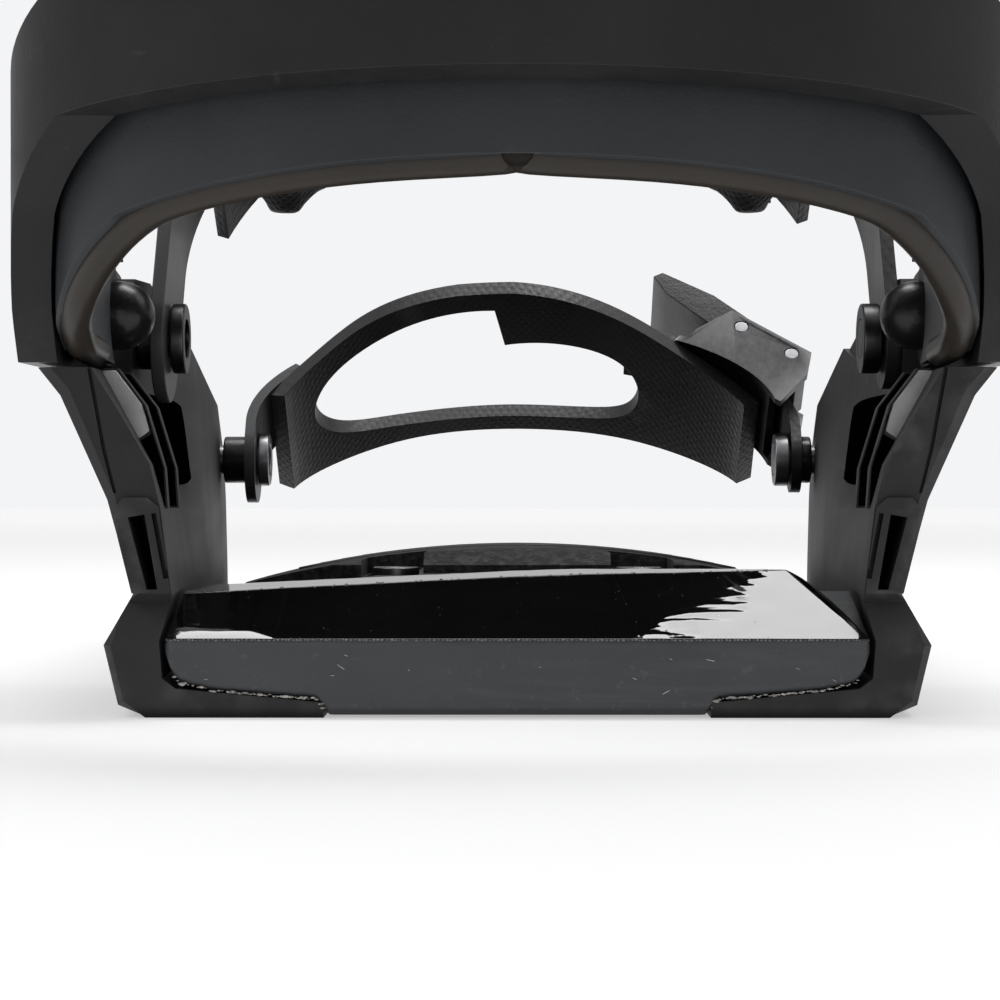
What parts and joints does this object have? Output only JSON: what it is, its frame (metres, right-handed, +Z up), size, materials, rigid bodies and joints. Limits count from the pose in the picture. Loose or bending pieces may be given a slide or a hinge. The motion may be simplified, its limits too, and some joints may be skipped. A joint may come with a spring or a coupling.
{
  "type": "snowboard binding",
  "caption": "Strap-in snowboard binding: baseplate with side rails, heel hoop, folding highback, mounting disc, ratchet ankle and toe straps.",
  "frame": {"origin": "centre of the mounting disc on the board's surface", "axes": "+Z up from the board, +Y to the toe, +X to the outer, buckle side of a right foot"},
  "size_m": [0.1356, 0.2814, 0.236],
  "materials": {
    "base_nylon": "satin",
    "hoop_nylon": "satin",
    "pad_rubber": "satin",
    "gloss_skin": "gloss",
    "foam": "matt",
    "shell_nylon": "satin",
    "strap_polymer": "satin",
    "strap_pad": "matt",
    "buckle_metal": "satin",
    "lever_nylon": "satin",
    "screw_steel": "satin",
    "disc_nylon": "satin"
  },
  "bodies": {
    "base": {"baseplate": "base_nylon", "heel_pad": "pad_rubber", "heel_pad_cap": "gloss_skin", "footbed_pad": "foam", "underside_cushions": "foam", "ramp_screws": "screw_steel", "heel_hoop": "hoop_nylon", "hoop_bolts": "screw_steel", "hoop_nuts": "screw_steel", "highback_pivots": "screw_steel", "highback_nuts": "lever_nylon", "ankle_pivots": "screw_steel", "ankle_nuts": "screw_steel", "ankle_spacers": "lever_nylon", "toe_pivots": "screw_steel", "toe_nuts": "screw_steel", "toe_spacers": "lever_nylon"},
    "disc": {"mounting_disc": "disc_nylon"},
    "ramp": {"toe_ramp": "disc_nylon", "ramp_pad": "foam"},
    "highback": {"highback_shell": "shell_nylon", "highback_upper_pad": "foam", "highback_lower_pad": "foam"},
    "lean_block": {"lean_block": "lever_nylon", "lean_pin": "screw_steel"},
    "lean_lever": {"lean_lever": "lever_nylon"},
    "ankle_strap": {"ankle_pad": "strap_pad", "ankle_shell": "strap_polymer", "ankle_connector": "strap_polymer", "ankle_screws": "screw_steel", "ankle_buckle": "buckle_metal", "ankle_pins": "screw_steel", "ankle_springs": "screw_steel"},
    "ankle_ladder": {"ankle_ladder": "strap_polymer"},
    "ankle_lever": {"ankle_lever": "lever_nylon"},
    "ankle_pawl": {"ankle_pawl": "buckle_metal"},
    "toe_strap": {"toe_cap": "strap_polymer", "toe_connector": "strap_polymer", "toe_screws": "screw_steel", "toe_buckle": "buckle_metal", "toe_pins": "screw_steel", "toe_springs": "screw_steel"},
    "toe_ladder": {"toe_ladder": "strap_polymer"},
    "toe_lever": {"toe_lever": "lever_nylon"},
    "toe_pawl": {"toe_pawl": "buckle_metal"}
  },
  "joints": [
    {"name": "disc_turn", "type": "hinge", "parent": "base", "child": "disc", "pos_m": [0, 0, 0.005], "axis": [0, 0, 1], "continuous": true},
    {"name": "ramp_slide", "type": "slide", "parent": "base", "child": "ramp", "axis": [0, 1, 0], "range_m": [0, 0.012]},
    {"name": "highback_fold", "type": "hinge", "parent": "base", "child": "highback", "pos_m": [0, -0.076, 0.0548], "axis": [1, 0, 0], "range_deg": [-45, 0]},
    {"name": "lean_slide", "type": "slide", "parent": "highback", "child": "lean_block", "axis": [0, 0.1461, 0.9893], "range_m": [0, 0.015]},
    {"name": "lean_lever_turn", "type": "hinge", "parent": "lean_block", "child": "lean_lever", "pos_m": [0, -0.1516, 0.10654], "axis": [1, 0, 0], "range_deg": [0, 75]},
    {"name": "ankle_tilt", "type": "hinge", "parent": "base", "child": "ankle_strap", "pos_m": [0, -0.058, 0.0525], "axis": [1, 0, 0], "range_deg": [-20, 2]},
    {"name": "ankle_ladder_tilt", "type": "hinge", "parent": "base", "child": "ankle_ladder", "pos_m": [0, -0.058, 0.0525], "axis": [1, 0, 0], "range_deg": [-20, 2]},
    {"name": "ankle_lever_turn", "type": "hinge", "parent": "ankle_strap", "child": "ankle_lever", "pos_m": [0.04331, -0.02657, 0.1009], "axis": [0, 0.8387, -0.5446], "range_deg": [0, 60]},
    {"name": "ankle_pawl_turn", "type": "hinge", "parent": "ankle_strap", "child": "ankle_pawl", "pos_m": [0.05134, -0.03142, 0.09342], "axis": [0, 0.8387, -0.5446], "range_deg": [0, 15]},
    {"name": "toe_tilt", "type": "hinge", "parent": "base", "child": "toe_strap", "pos_m": [0, 0.078, 0.036], "axis": [1, 0, 0], "range_deg": [-12, 15]},
    {"name": "toe_ladder_tilt", "type": "hinge", "parent": "base", "child": "toe_ladder", "pos_m": [0, 0.078, 0.036], "axis": [1, 0, 0], "range_deg": [-12, 15]},
    {"name": "toe_lever_turn", "type": "hinge", "parent": "toe_strap", "child": "toe_lever", "pos_m": [0.04511, 0.09392, 0.05637], "axis": [0, 0.788, -0.6157], "range_deg": [0, 60]},
    {"name": "toe_pawl_turn", "type": "hinge", "parent": "toe_strap", "child": "toe_pawl", "pos_m": [0.05477, 0.08954, 0.05076], "axis": [0, 0.788, -0.6157], "range_deg": [0, 15]}
  ],
  "couplings": [
    {"joint": "ankle_ladder_tilt", "follows": "ankle_tilt", "ratio": 1},
    {"joint": "toe_ladder_tilt", "follows": "toe_tilt", "ratio": 1}
  ]
}
